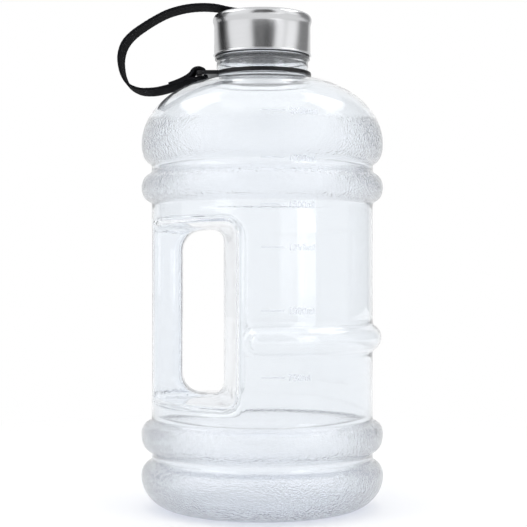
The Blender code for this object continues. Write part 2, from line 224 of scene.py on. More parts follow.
# Brightness of the room in reflections between its zones, and on rough surfaces.
ROOM_GLOW = 0.90
ROOM_DIFFUSE = 0.80

# Softboxes and dark cards seen in reflections: from and to degrees round from the camera's
# side, from and to degrees of height, softness in degrees, brightness.
ROOM = (
    (-133.0, -91.0, -90.0, 42.0, 6.0, 0.17),
    (-89.0, -24.0, -1.5, 70.0, 5.0, 1.18),
    (-24.0, 32.0, 5.0, 60.0, 5.0, 0.10),
    (-10.0, 4.0, 5.0, 60.0, 8.0, 0.22),
    (18.0, 46.0, -1.5, 5.0, 5.0, 2.2),
    (32.0, 90.0, 5.0, 70.0, 5.0, 1.30),
    (55.0, 62.0, 5.0, 70.0, 4.0, 0.9),
    (98.0, 146.0, -90.0, 42.0, 8.0, 0.28),
    (-130.0, -85.0, 42.0, 66.0, 5.0, 3.2),
    (85.0, 130.0, 42.0, 66.0, 5.0, 3.2),
)


# ---------------------------------------------------------------- settings


class JugSettings(bpy.types.PropertyGroup):
    """Sizes and colours of the blown body."""

    wall: bpy.props.FloatProperty(
        name="Wall", description="Thickness of the blown wall", default=0.0012, unit="LENGTH")
    turn_steps: bpy.props.IntProperty(
        name="Turn steps", description="Facets round the body", default=192, min=48)
    outer_step: bpy.props.FloatProperty(
        name="Outer step", description="Mesh spacing on the outside", default=0.0019, unit="LENGTH")
    inner_step: bpy.props.FloatProperty(
        name="Inner step", description="Mesh spacing on the inside", default=0.0030, unit="LENGTH")
    tint: bpy.props.FloatVectorProperty(
        name="Tint", description="Colour of the clear plastic", subtype="COLOR",
        default=(0.900, 0.920, 0.938))
    frosted_tint: bpy.props.FloatVectorProperty(
        name="Frosted tint", description="Colour of the pebbled bands", subtype="COLOR",
        default=(0.893, 0.914, 0.938))
    pebble: bpy.props.FloatProperty(
        name="Pebble size", description="Width of the pebbles on the ribs", default=0.0008,
        unit="LENGTH")


class MarkSettings(bpy.types.PropertyGroup):
    """Sizes of the volume marks moulded on the front."""

    bar_length: bpy.props.FloatProperty(
        name="Bar length", description="Length of each mark", default=0.0105, unit="LENGTH")
    bar_bead: bpy.props.FloatProperty(
        name="Bar bead", description="Length of one bead of a mark", default=0.0016,
        unit="LENGTH")
    bar_width: bpy.props.FloatProperty(
        name="Bar width", description="Width of a mark", default=0.0005, unit="LENGTH")
    number_start: bpy.props.FloatProperty(
        name="Number start", description="Distance from the bar's start to the number",
        default=0.0130, unit="LENGTH")
    number_size: bpy.props.FloatProperty(
        name="Number size", description="Height of the lettering", default=0.0048,
        unit="LENGTH")
    number_rise: bpy.props.FloatProperty(
        name="Number rise", description="How far the numbers stand out", default=0.00015,
        unit="LENGTH")


class CapSettings(bpy.types.PropertyGroup):
    """Colours of the cap."""

    steel: bpy.props.FloatVectorProperty(
        name="Steel", description="Colour of the brushed steel", subtype="COLOR",
        default=(0.68, 0.685, 0.70))
    brush: bpy.props.FloatProperty(
        name="Brush roughness", description="Roughness of the brushed steel", default=0.22)


class LeashSettings(bpy.types.PropertyGroup):
    """Sizes and colours of the leash."""

    webbing: bpy.props.FloatVectorProperty(
        name="Webbing", description="Colour of the woven strap", subtype="COLOR",
        default=(0.004, 0.004, 0.005))
    rib_pitch: bpy.props.FloatProperty(
        name="Rib pitch", description="Distance between ribs across the strap", default=0.0015,
        unit="LENGTH")
    pick_pitch: bpy.props.FloatProperty(
        name="Pick pitch", description="Length of one over-and-under", default=0.0024,
        unit="LENGTH")
    weave_depth: bpy.props.FloatProperty(
        name="Weave depth", description="Height of the woven ribs", default=0.00014,
        unit="LENGTH")
    hem: bpy.props.FloatProperty(
        name="Hem", description="Extra thickness of the tail's doubled end", default=0.0010,
        unit="LENGTH")
    stitch: bpy.props.FloatProperty(
        name="Stitch length", description="Length of one stitch", default=0.0021, unit="LENGTH")
    thread: bpy.props.FloatProperty(
        name="Thread", description="Thickness of the sewing thread", default=0.00045,
        unit="LENGTH")


class StageSettings(bpy.types.PropertyGroup):
    """The plain studio round the jug."""

    distance: bpy.props.FloatProperty(
        name="Camera distance", description="From the jug's axis", default=0.745, unit="LENGTH")
    camera_height: bpy.props.FloatProperty(
        name="Camera height", description="Above the floor", default=0.1266, unit="LENGTH")
    focal_length: bpy.props.FloatProperty(
        name="Focal length", description="In millimetres, on a 36 mm sensor", default=94.2)
    softbox_power: bpy.props.FloatProperty(
        name="Softbox power", description="Power of each side softbox, in watts", default=1.9)


# ---------------------------------------------------------------- shader maths


class Value:
    """A node's output socket that can be used in arithmetic."""

    def __init__(self, tree, socket):
        self.tree = tree
        self.socket = socket

    def combined(self, operation, first, second=None):
        node = self.tree.nodes.new("ShaderNodeMath")
        node.operation = operation
        for slot, item in zip(node.inputs, (first, second)):
            if isinstance(item, Value):
                self.tree.links.new(item.socket, slot)
            elif item is not None:
                slot.default_value = item
        return Value(self.tree, node.outputs[0])

    def __add__(self, other):
        return self.combined("ADD", self, other)

    __radd__ = __add__

    def __sub__(self, other):
        return self.combined("SUBTRACT", self, other)

    def __rsub__(self, other):
        return self.combined("SUBTRACT", other, self)

    def __mul__(self, other):
        return self.combined("MULTIPLY", self, other)

    __rmul__ = __mul__

    def __truediv__(self, other):
        return self.combined("DIVIDE", self, other)

    def __rtruediv__(self, other):
        return self.combined("DIVIDE", other, self)

    def clipped(self):
        return self.combined("MINIMUM", self.combined("MAXIMUM", self, 0.0), 1.0)

    def function(self, operation, other=None):
        return self.combined(operation, self, other)

    def band(self, low, high, soft):
        """1 between low and high, fading to 0 over soft."""
        rise = ((self - low) / soft + 0.5).clipped()
        fall = ((high - self) / soft + 0.5).clipped()
        return rise * fall


class Outputs:
    """The outputs of one node, by name or number."""

    def __init__(self, tree, node):
        self.tree = tree
        self.node = node

    def __getitem__(self, name):
        return Value(self.tree, self.node.outputs[name])


class Wiring:
    """Adds nodes to a tree and fills their sockets."""

    def __init__(self, tree):
        self.tree = tree

    def fill(self, slot, value):
        """Links a value or sets a plain one; a colour may leave its alpha out."""
        if isinstance(value, Value):
            self.tree.links.new(value.socket, slot)
        elif isinstance(value, tuple) and len(value) == 3 and slot.type == "RGBA":
            slot.default_value = (*value, 1.0)
        else:
            slot.default_value = value

    def node(self, kind, settings=None, sockets=None, **named):
        """Add a node; settings come first, then its sockets by number or by name."""
        node = self.tree.nodes.new(kind)
        for key, value in (settings or {}).items():
            setattr(node, key, value)
        for key, value in (sockets or {}).items():
            self.fill(node.inputs[key], value)
        for key, value in named.items():
            self.fill(node.inputs[key.replace("_", " ")], value)
        return Outputs(self.tree, node)

    def mixed(self, factor, first, second):
        """Colour between first and second."""
        sockets = {0: factor, 6: first, 7: second}
        return self.node("ShaderNodeMix", {"data_type": "RGBA"}, sockets)[2]

    def axes(self, vector):
        parts = self.node("ShaderNodeSeparateXYZ", Vector=vector)
        return parts["X"], parts["Y"], parts["Z"]

    def joined(self, x, y, z):
        return self.node("ShaderNodeCombineXYZ", X=x, Y=y, Z=z)["Vector"]

    def noise(self, vector, scale, detail=2.0, roughness=0.5):
        return self.node("ShaderNodeTexNoise", Vector=vector, Scale=scale, Detail=detail,
                         Roughness=roughness)["Fac"]


class Finish(Wiring):
    """A material under construction: one Principled shader and the nodes that feed it."""

    def __init__(self, name, **constants):
        self.material = bpy.data.materials.new(name)
        self.material.use_nodes = True
        super().__init__(self.material.node_tree)
        self.shader = self.tree.nodes["Principled BSDF"]
        self.output = self.tree.nodes["Material Output"]
        for key, value in constants.items():
            self.set(key.replace("_", " "), value)
        coordinates = self.node("ShaderNodeTexCoord")
        self.place = coordinates["Object"]
        self.chart = coordinates["UV"]

    def set(self, name, value):
        self.fill(self.shader.inputs[name], value)

    def bump(self, height, distance, strength=1.0, under=None):
        sockets = {"Height": height, "Distance": distance, "Strength": strength}
        if under is not None:
            sockets["Normal"] = under
        normal = self.node("ShaderNodeBump", None, sockets)["Normal"]
        self.set("Normal", normal)
        return normal

    def finish_with(self, factor, other):
        """Mixes the shader with another by the factor, as the surface."""
        own = Value(self.tree, self.shader.outputs[0])
        mix = self.node("ShaderNodeMixShader", None, {0: factor, 1: own, 2: other})
        self.fill(self.output.inputs["Surface"], mix[0])


# ---------------------------------------------------------------- mesh helpers


def mesh_piece(name, points, faces, finish, smooth=True):
    mesh = bpy.data.meshes.new(name)
    mesh.from_pydata([tuple(point) for point in points], [], [tuple(face) for face in faces])
    mesh.materials.append(finish)
    mesh.validate()
    if smooth:
        mesh.shade_smooth()
    piece = bpy.data.objects.new(name, mesh)
    bpy.context.scene.collection.objects.link(piece)
    return piece


def arc(centre, radii, start, end, steps):
    """Points on an elliptic arc in the (radius, z) plane, angles in degrees."""
    turns = np.radians(np.linspace(start, end, steps + 1))
    return np.column_stack((centre[0] + radii[0] * np.cos(turns),
                            centre[1] + radii[1] * np.sin(turns)))


def resampled(points, step):
    """The polyline with evenly spaced points."""
    points = np.asarray(points, float)
    lengths = np.concatenate(([0.0], np.cumsum(np.linalg.norm(np.diff(points, axis=0), axis=1))))
    count = max(2, int(round(lengths[-1] / step)) + 1)
    even = np.linspace(0.0, lengths[-1], count)
    return np.column_stack([np.interp(even, lengths, column) for column in points.T])


def softened(points, rounds):
    """Rounds a polyline's corners and keeps its ends."""
    points = points.copy()
    for _ in range(rounds):
        points[1:-1] = 0.25 * points[:-2] + 0.5 * points[1:-1] + 0.25 * points[2:]
    return points


def turned(name, profile, finish, steps, sharp):
    """Spin a closed (radius, z) profile about Z; points at radius 0 become one pole.

    Edges that turn by more than sharp degrees stay crisp.
    """
    points = []
    rings = []
    turns = np.linspace(0.0, TURN, steps, endpoint=False)
    for radius, z in profile:
        if radius <= 1e-7:
            rings.append([len(points)])
            points.append((0.0, 0.0, z))
            continue
        rings.append(list(range(len(points), len(points) + steps)))
        points += [(radius * math.cos(t), radius * math.sin(t), z) for t in turns]
    faces = []
    closed = len(rings[0]) > 1
    pairs = list(zip(rings, rings[1:]))
    if closed:
        pairs.append((rings[-1], rings[0]))
    for upper, lower in pairs:
        for i in range(steps):
            j = (i + 1) % steps
            if len(upper) == 1:
                faces.append((upper[0], lower[i], lower[j]))
            elif len(lower) == 1:
                faces.append((upper[i], lower[0], upper[j]))
            else:
                faces.append((upper[i], lower[i], lower[j], upper[j]))
    piece = mesh_piece(name, points, faces, finish)
    piece.data.set_sharp_from_angle(angle=math.radians(sharp))
    return piece


def smooth_max(a, b, reach):
    overlap = np.maximum(reach - np.abs(a - b), 0.0) / reach
    return np.maximum(a, b) + overlap * overlap * reach * 0.25


def smooth_min(a, b, reach):
    return -smooth_max(-a, -b, reach)


def rounded_box(a, b, low_a, high_a, low_b, high_b, corner):
    """Signed distance to a rounded rectangle in a plane (a, b)."""
    reach_a = np.abs(a - 0.5 * (low_a + high_a)) - (0.5 * (high_a - low_a) - corner)
    reach_b = np.abs(b - 0.5 * (low_b + high_b)) - (0.5 * (high_b - low_b) - corner)
    outside = np.hypot(np.maximum(reach_a, 0.0), np.maximum(reach_b, 0.0))
    return outside + np.minimum(np.maximum(reach_a, reach_b), 0.0) - corner


def slope(field, points, reach=0.1 * MM):
    """Gradient of the field at points."""
    parts = []
    for axis in range(3):
        step = np.zeros(3)
        step[axis] = reach
        ahead = field(*(points + step).T)
        behind = field(*(points - step).T)
        parts.append((ahead - behind) / (2.0 * reach))
    return np.column_stack(parts)


def settled(field, level, points, rounds=4, limit=1.0 * MM):
    """Moves points onto the surface where field equals level."""
    for _ in range(rounds):
        gradient = slope(field, points)
        steep = np.maximum((gradient ** 2).sum(1), 0.05)
        step = (field(*points.T) - level) / steep
        move = gradient * step[:, None]
        size = np.linalg.norm(move, axis=1)
        move *= np.minimum(1.0, limit / np.maximum(size, 1e-9))[:, None]
        points = points - move
    return points


EDGES = [(axis, a, b) for axis in range(3) for a in (0, 1) for b in (0, 1)]


def net(values):
    """Dual surface of a grid of signed values whose first axis closes on itself.

    Gives the grid places, the quads and the cells' vertex numbers.
    """
    values = np.concatenate((values, values[:1]), axis=0)
    below = values < 0.0
    shape = tuple(n - 1 for n in values.shape)
    total = np.zeros(shape + (3,))
    count = np.zeros(shape)
    for axis, a, b in EDGES:
        near = [None, None, None]
        others = [i for i in range(3) if i != axis]
        near[axis] = 0
        near[others[0]] = a
        near[others[1]] = b
        far = list(near)
        far[axis] = 1
        cut_near = tuple(slice(o, o + n) for o, n in zip(near, shape))
        cut_far = tuple(slice(o, o + n) for o, n in zip(far, shape))
        crosses = below[cut_near] != below[cut_far]
        v0 = values[cut_near]
        v1 = values[cut_far]
        part = np.where(crosses, v0 / np.where(crosses, v0 - v1, 1.0), 0.0)
        for i in range(3):
            place = near[i] + (part if i == axis else 0.0)
            total[..., i] += np.where(crosses, place, 0.0)
        count += crosses
    active = count > 0
    number = np.full(shape, -1, dtype=np.int64)
    number[active] = np.arange(active.sum())
    corners = np.argwhere(active).astype(float)
    places = corners + total[active] / count[active][:, None]

    quads = []
    for axis in range(3):
        u, v = [i for i in range(3) if i != axis]
        ahead = np.roll(below, -1, axis=axis) != below
        index = np.argwhere(ahead)
        keep = index[:, axis] < shape[axis]
        for other in (u, v):
            top = index[:, other] < shape[other]
            low = index[:, other] > 0
            if other == 0:
                low[:] = True
            keep &= top & low
        index = index[keep]
        ring = []
        for du, dv in ((0, 0), (1, 0), (1, 1), (0, 1)):
            cell = index.copy()
            cell[:, u] -= du
            cell[:, v] -= dv
            cell[:, 0] %= shape[0]
            ring.append(number[tuple(cell.T)])
        quads.append(np.column_stack(ring))
    return places, np.concatenate(quads), number


def facing(points, quads, directions):
    """Quads turned so that their normals follow the given directions."""
    p = points[quads]
    normal = np.cross(p[:, 2] - p[:, 0], p[:, 3] - p[:, 1])
    backward = (normal * directions).sum(1) < 0.0
    quads[backward] = quads[backward][:, ::-1]
    return quads


# ---------------------------------------------------------------- blown body


def body_outline():
    """The turned body's outline, from the middle of its base up to the collar."""
    wall = WALL_RADIUS
    bulge = RIB_RADIUS - WALL_RADIUS
    inner_foot = FOOT_RADIUS - FOOT_WIDTH
    parts = [np.array([(part * inner_foot, rise * PUSH_UP) for part, rise in PUSH_UP_SHAPE])]
    foot = (RIB_RADIUS - FOOT_RADIUS, BASE_WIDEST)
    parts.append(arc((FOOT_RADIUS, BASE_WIDEST), foot, -90, 0, 30))
    parts.append(arc((wall, BASE_WIDEST), (bulge, BASE_TOP - BASE_WIDEST), 0, 90, 16))
    for top, widest, bottom in (LOWER_RIB, UPPER_RIB):
        parts.append(arc((wall, widest), (bulge, widest - bottom), -90, 0, 16))
        parts.append(arc((wall, widest), (bulge, top - widest), 0, 90, 16))
    parts.append(arc((wall, DOME_WIDEST), (bulge, DOME_WIDEST - DOME_FOOT), -90, 0, 16))
    dome = (RIB_RADIUS - DOME_CENTRE_RADIUS, DOME_HEIGHT)
    end = math.degrees(math.acos((COLLAR_RADIUS - DOME_CENTRE_RADIUS) / dome[0]))
    parts.append(arc((DOME_CENTRE_RADIUS, DOME_WIDEST), dome, 0, end, 60))
    parts.append(np.array([(COLLAR_RADIUS, RIM_Z)]))
    return softened(resampled(np.concatenate(parts), OUTLINE_STEP), 6)


class TurnedField:
    """Signed distance to a turned outline, kept as a fine (radius, z) table."""

    step = 0.3 * MM

    def __init__(self, outline):
        closed = np.concatenate((outline, [(0.0, outline[-1, 1])]))
        self.low = np.array((0.0, -4.0 * MM))
        radii = np.arange(0.0, RIB_RADIUS + 5.0 * MM, self.step)
        heights = np.arange(self.low[1], RIM_Z, self.step)
        self.table = np.empty((len(radii), len(heights)))
        start = closed
        end = np.roll(closed, -1, axis=0)
        along = end - start
        length = np.maximum((along ** 2).sum(1), 1e-18)
        walls = slice(0, len(outline) - 1)
        for i, radius in enumerate(radii):
            grid = np.column_stack((np.full(len(heights), radius), heights))
            offset = grid[:, None, :] - start[None, walls]
            part = (offset * along[walls]).sum(2) / length[walls]
            part = np.clip(part, 0.0, 1.0)
            gap = offset - part[..., None] * along[walls]
            distance = np.sqrt((gap ** 2).sum(2).min(1))
            above = start[None, :, 1] > heights[:, None]
            above_end = end[None, :, 1] > heights[:, None]
            with np.errstate(divide="ignore", invalid="ignore"):
                slide = (heights[:, None] - start[None, :, 1]) / along[None, :, 1]
                crossing = start[None, :, 0] + slide * along[None, :, 0]
            hits = (above != above_end) & (radius < crossing)
            inside = hits.sum(1) % 2 == 1
            self.table[i] = np.where(inside, -distance, distance)

    def __call__(self, radius, z):
        a = np.clip(radius / self.step, 0.0, self.table.shape[0] - 1.001)
        b = np.clip((z - self.low[1]) / self.step, 0.0, self.table.shape[1] - 1.001)
        i = a.astype(int)
        j = b.astype(int)
        a = a - i
        b = b - j
        low = self.table[i, j] * (1 - a) + self.table[i + 1, j] * a
        high = self.table[i, j + 1] * (1 - a) + self.table[i + 1, j + 1] * a
        return low * (1 - b) + high * b


def window_distance(x, y, z):
    """Signed distance to the C-shaped space round the grip."""
    depth = np.sqrt(y * y + PINCH_ROUND ** 2) - PINCH_ROUND
    right = WINDOW_RIGHT + WINDOW_SIDE_DRAFT * depth
    low = WINDOW_Z[0] - WINDOW_END_DRAFT * depth
    high = WINDOW_Z[1] + WINDOW_END_DRAFT * depth
    space = rounded_box(x, z, FAR_LEFT, right, low, high, WINDOW_CORNER)
    near_end = np.minimum(z - WINDOW_Z[0], WINDOW_Z[1] - z)
    turn = np.clip(1.0 - near_end / GRIP_FLARE, 0.0, 1.0)
    flare = GRIP_FLARE * (1.0 - np.sqrt(1.0 - turn * turn))
    grip = rounded_box(x, y, GRIP_X[0], GRIP_X[1] + flare, -GRIP_HALF_DEPTH, GRIP_HALF_DEPTH,
                       GRIP_CORNER)
    return smooth_max(space, -grip, GRIP_BLEND)


def grip_rib_distance(x, y, z):
    turn = np.clip(np.arctan2(y, x), -GRIP_RIB_HALF_ANGLE, GRIP_RIB_HALF_ANGLE)
    gap_x = x - GRIP_RIB_PATH * np.cos(turn)
    gap_y = y - GRIP_RIB_PATH * np.sin(turn)
    gap_z = z - GRIP_RIB_Z
    return np.sqrt(gap_x ** 2 + gap_y ** 2 + gap_z ** 2) - GRIP_RIB_BEAD


def body_field(turned_field):
    def field(x, y, z):
        shape = turned_field(np.hypot(x, y), z)
        shape = smooth_min(shape, grip_rib_distance(x, y, z), GRIP_RIB_BLEND)
        return smooth_max(shape, -window_distance(x, y, z), WINDOW_BLEND)
    return field


def body_skin(field, level, steps, spacing, top):
    """One skin of the body: points, quads, the ring at its top and the ring at its base."""
    turns = np.arange(steps) * TURN / steps
    radii = np.arange(1.0 * MM, RIB_RADIUS + 2.0 * spacing, spacing)
    heights = np.linspace(-2.0 * MM, top, int(round((top + 2.0 * MM) / spacing)) + 1)
    grid_t, grid_r, grid_z = np.meshgrid(turns, radii, heights, indexing="ij")
    values = field(grid_r * np.cos(grid_t), grid_r * np.sin(grid_t), grid_z) - level
    places, quads, number = net(values)
    turn = places[:, 0] * TURN / steps
    radius = radii[0] + places[:, 1] * spacing
    height = heights[0] + places[:, 2] * (heights[1] - heights[0])
    points = np.column_stack((radius * np.cos(turn), radius * np.sin(turn), height))
    rough = points.copy()
    points = settled(field, level, points)
    top_ring = number[:, :, -1].max(axis=1)
    points[top_ring, 2] = rough[top_ring, 2]
    base_ring = number[:, 0, :].max(axis=1)
    return points, quads, top_ring, base_ring


def thread_rise(turn, z, thread):
    """How far a thread bead stands out from its cylinder at each turn and height."""
    rise = np.zeros_like(z)
    for lap in range(int(thread["turns"]) + 2):
        travelled = turn / TURN % 1.0 + lap
        centre = thread["bottom"] + THREAD_PITCH * travelled
        ends = np.minimum(travelled, thread["turns"] - travelled) * TURN * thread["radius"]
        size = thread["bead"] * np.clip(0.3 + ends / THREAD_FADE, 0.0, 1.0)
        size = np.where(ends < 0.0, 0.0, size)
        rise = np.maximum(rise, np.sqrt(np.maximum(size ** 2 - (z - centre) ** 2, 0.0)))
    return rise


def neck_rows(start_z, wall):
    """Outline of the neck, up the outside, over the rim and down the bore."""
    low, high = BEAD_Z
    corners = [
        (COLLAR_RADIUS, start_z + 0.6 * MM),
        (COLLAR_RADIUS, low - 0.4 * MM),
        (BEAD_RADIUS, low + 0.3 * MM),
        (BEAD_RADIUS, high - 0.2 * MM),
        (THREAD_ROOT + 0.3 * MM, high + 0.3 * MM),
        (THREAD_ROOT, high + 0.9 * MM),
        (THREAD_ROOT, RIM_Z),
        (BORE_RADIUS, RIM_Z),
        (BORE_RADIUS, high),
        (COLLAR_RADIUS - wall, low - 2.0 * MM),
        (COLLAR_RADIUS - wall, start_z + 0.6 * MM),
    ]
    fine = softened(resampled(corners[:8], 0.32 * MM), 2)
    coarse = softened(resampled(corners[7:], 1.0 * MM), 2)
    return np.concatenate((fine, coarse[1:]))


def build_body(settings, finish):
    """The blown shell: an outer and an inner skin, joined by the threaded neck."""
    steps = settings.turn_steps
    field = body_field(TurnedField(body_outline()))
    outer = body_skin(field, 0.0, steps, settings.outer_step, JOIN_Z)
    inner = body_skin(field, -settings.wall, steps, settings.inner_step, JOIN_Z)
    points = []
    faces = []
    rings = []
    offset = 0
    for (skin, quads, top_ring, base_ring), out in ((outer, 1.0), (inner, -1.0)):
        middles = skin[quads].mean(axis=1)
        quads = facing(skin, quads, out * slope(field, middles))
        points.append(skin)
        faces += (quads + offset).tolist()
        rings.append(top_ring + offset)
        offset += len(skin)
        centre = skin[base_ring].mean(axis=0)
        points.append(np.array([(0.0, 0.0, centre[2])]))
        for i in range(steps):
            fan = [base_ring[i], base_ring[(i + 1) % steps]]
            fan = [v + offset - len(skin) for v in fan] + [offset]
            faces.append(fan[::-1] if out > 0.0 else fan)
        offset += 1

    start_z = max(outer[0][outer[2], 2].max(), inner[0][inner[2], 2].max())
    turns = np.arctan2(outer[0][outer[2], 1], outer[0][outer[2], 0]) % TURN
    rows = neck_rows(start_z, settings.wall)
    turn_grid = np.repeat(turns[None, :], len(rows), axis=0)
    z_grid = np.repeat(rows[:, 1][:, None], steps, axis=1)
    r_grid = np.repeat(rows[:, 0][:, None], steps, axis=1)
    bead = thread_rise(turn_grid, z_grid, NECK_THREAD)
    crest = NECK_THREAD["radius"] + bead
    outside = (np.abs(r_grid - THREAD_ROOT) < 0.2 * MM) & (bead > 0.0)
    r_grid = np.where(outside, np.maximum(r_grid, crest), r_grid)
    neck = np.stack((r_grid * np.cos(turn_grid), r_grid * np.sin(turn_grid), z_grid), axis=2)
    points.append(neck.reshape(-1, 3))
    numbers = offset + np.arange(len(rows) * steps).reshape(len(rows), steps)
    numbers = np.concatenate((rings[0][None], numbers, rings[1][None]))
    for lower, upper in zip(numbers, numbers[1:]):
        for i in range(steps):
            j = (i + 1) % steps
            faces.append((lower[i], lower[j], upper[j], upper[i]))
    return mesh_piece("jug_body", np.concatenate(points), faces, finish)


# ---------------------------------------------------------------- finishes


def clear_plastic(settings):
    """Clear blown plastic, slightly hazy, with fine pebbles on the ribs and the dome's skirt."""
    tint = tuple(settings.tint)
    finish = Finish("clear_plastic", Base_Color=tint, Roughness=0.03, IOR=1.5,
                    Transmission_Weight=0.95)
    _, _, height = finish.axes(finish.place)
    bands = [height.band(*band) for band in PEBBLED_BANDS]
    pebbled = sum(bands[1:], bands[0]).clipped()
    cells = finish.node("ShaderNodeTexVoronoi", {"feature": "SMOOTH_F1"}, Vector=finish.place,
                        Scale=1.0 / settings.pebble, Smoothness=0.7)["Distance"]
    speck = finish.noise(finish.place, 0.6 / settings.pebble, 2.0)
    wander = finish.noise(finish.place, 22.0, 2.0)
    pebble = finish.bump((cells + speck * 0.5) * pebbled, 0.00036, 0.6)
    finish.bump(wander, 0.0010, 0.12, under=pebble)
    finish.set("Roughness", 0.015 + pebbled * 0.075 + speck * 0.02)
    finish.set("Base Color", finish.mixed(pebbled, tint, tuple(settings.frosted_tint)))
    let_lamps_through(finish)
    return finish.material


def let_lamps_through(finish):
    """Lamps reach through the clear plastic, as they do through a thin real wall."""
    clear = finish.node("ShaderNodeBsdfTransparent", Color=(0.86, 0.87, 0.91))
    finish.finish_with(finish.node("ShaderNodeLightPath")["Is Shadow Ray"], clear[0])


def brushed_steel(name, colour, roughness):
    """Steel brushed in fine rings round the axis."""
    finish = Finish(name, Base_Color=colour, Roughness=roughness, Metallic=1.0)
    x, y, z = finish.axes(finish.place)
    radius = (x * x + y * y).function("SQRT")
    lines = finish.joined(x / radius * 1.5, y / radius * 1.5, (z + radius) * 5200.0)
    brush = finish.noise(lines, 1.0, 3.0, 0.7)
    blotch = finish.noise(finish.place, 70.0, 2.0)
    finish.set("Roughness", roughness - 0.05 + brush * 0.10 + blotch * 0.04)
    dark = tuple(0.86 * part for part in colour)
    finish.set("Base Color", finish.mixed(brush, dark, colour))
    finish.bump(brush, 0.00003, 0.35)
    return finish.material


def moulded_plastic(name, colour, roughness, specular=0.5):
    finish = Finish(name, Base_Color=colour, Roughness=roughness, Specular_IOR_Level=specular)
    grain = finish.noise(finish.place, 1800.0, 2.0)
    cloud = finish.noise(finish.place, 120.0, 2.0)
    finish.set("Roughness", roughness + (grain - 0.5) * 0.12 + (cloud - 0.5) * 0.10)
    light = tuple(min(1.0, 1.5 * part + 0.004) for part in colour)
    finish.set("Base Color", finish.mixed(cloud * 0.5, colour, light))
    finish.bump(grain, 0.00004, 0.4)
    return finish.material


def moulded_marks():
    """Faint raised marks, a little frosted."""
    finish = Finish("moulded_marks", Base_Color=(0.70, 0.73, 0.80), Roughness=0.45, Alpha=0.35)
    grain = finish.noise(finish.place, 900.0, 2.0)
    finish.set("Alpha", 0.28 + grain * 0.12)
    finish.set("Roughness", 0.40 + grain * 0.12)
    return finish.material


def woven_webbing(settings):
    """Black webbing: yarns over and under, read from the strap's own map in metres."""
    colour = tuple(settings.webbing)
    finish = Finish("woven_webbing", Base_Color=colour, Roughness=0.85, Specular_IOR_Level=0.06)
    along, across, _ = finish.axes(finish.chart)
    fibre = finish.noise(finish.joined(along * 900.0, across * 6000.0, 0.0), 1.0, 3.0, 0.65)
    rib = (across * (TURN / settings.rib_pitch)).function("COSINE") * 0.5 + 0.5
    dust = finish.noise(finish.place, 260.0, 3.0)
    finish.set("Roughness", 0.72 + fibre * 0.18)
    pale = tuple(2.0 * part + 0.003 for part in colour)
    finish.set("Base Color", finish.mixed((fibre * 0.5 + rib * 0.25 + dust * 0.35 - 0.2).clipped(),
                                          colour, pale))
    finish.bump(fibre, 0.00006, 0.6)
    return finish.material


def sewing_thread():
    finish = Finish("sewing_thread", Base_Color=(0.03, 0.03, 0.034), Roughness=0.45)
    twist = finish.noise(finish.place, 5200.0, 2.0)
    finish.set("Base Color", finish.mixed(twist, (0.02, 0.02, 0.022), (0.07, 0.07, 0.075)))
    finish.bump(twist, 0.00003, 0.5)
    return finish.material


# ---------------------------------------------------------------- leash


def route_line(route, step):
    """Evenly spaced (x, z, lean) on a smooth line through a route, in metres and radians."""
    knots = np.array([(x, z, math.radians(lean)) for x, z, lean in route])
    padded = np.concatenate(([2 * knots[0] - knots[1]], knots, [2 * knots[-1] - knots[-2]]))
    t = np.linspace(0.0, 1.0, 24, endpoint=False)[:, None]
    fine = []
    for before, start, end, after in zip(padded, padded[1:], padded[2:], padded[3:]):
        bend = 2 * before - 5 * start + 4 * end - after
        twist = 3 * (start - end) + after - before
        fine.append(start + 0.5 * t * ((end - before) + t * (bend + t * twist)))
    fine = np.concatenate(fine + [knots[-1:]])
    gaps = np.linalg.norm(np.diff(fine[:, :2], axis=0), axis=1)
    lengths = np.concatenate(([0.0], np.cumsum(gaps)))
    even = np.linspace(0.0, lengths[-1], int(round(lengths[-1] / step)) + 1)
    return np.column_stack([np.interp(even, lengths, column) for column in fine.T]), lengths[-1]


def strap_frames(line):
    """Middle points, width directions and face normals along a strap."""
    along = np.gradient(line[:, :2], axis=0)
    along /= np.linalg.norm(along, axis=1)[:, None]
    forward = np.column_stack((along[:, 0], np.zeros(len(line)), along[:, 1]))
    side = np.array((0.0, 1.0, 0.0))
    lean = line[:, 2][:, None]
    width = side * np.cos(lean) + np.cross(forward, side) * np.sin(lean)
    rise = np.cross(forward, width)
    middle = np.column_stack((line[:, 0], np.zeros(len(line)), line[:, 1]))
    return middle, width, rise


def strap_section(points_across):
    """Places round a flat strap's section: across in -1..1 and face side in -1..1."""
    across = np.linspace(-1.0, 1.0, points_across)
    edge = np.radians(np.linspace(90.0, -90.0, 7)[1:-1])
    flat = across * (1.0 - STRAP_EDGE)
    rim = 1.0 - STRAP_EDGE + STRAP_EDGE * np.cos(edge)
    across_all = np.concatenate((flat, rim, flat[::-1], -rim))
    side_all = np.concatenate((np.ones(points_across), np.sin(edge),
                               -np.ones(points_across), -np.sin(edge)))
    return across_all, side_all


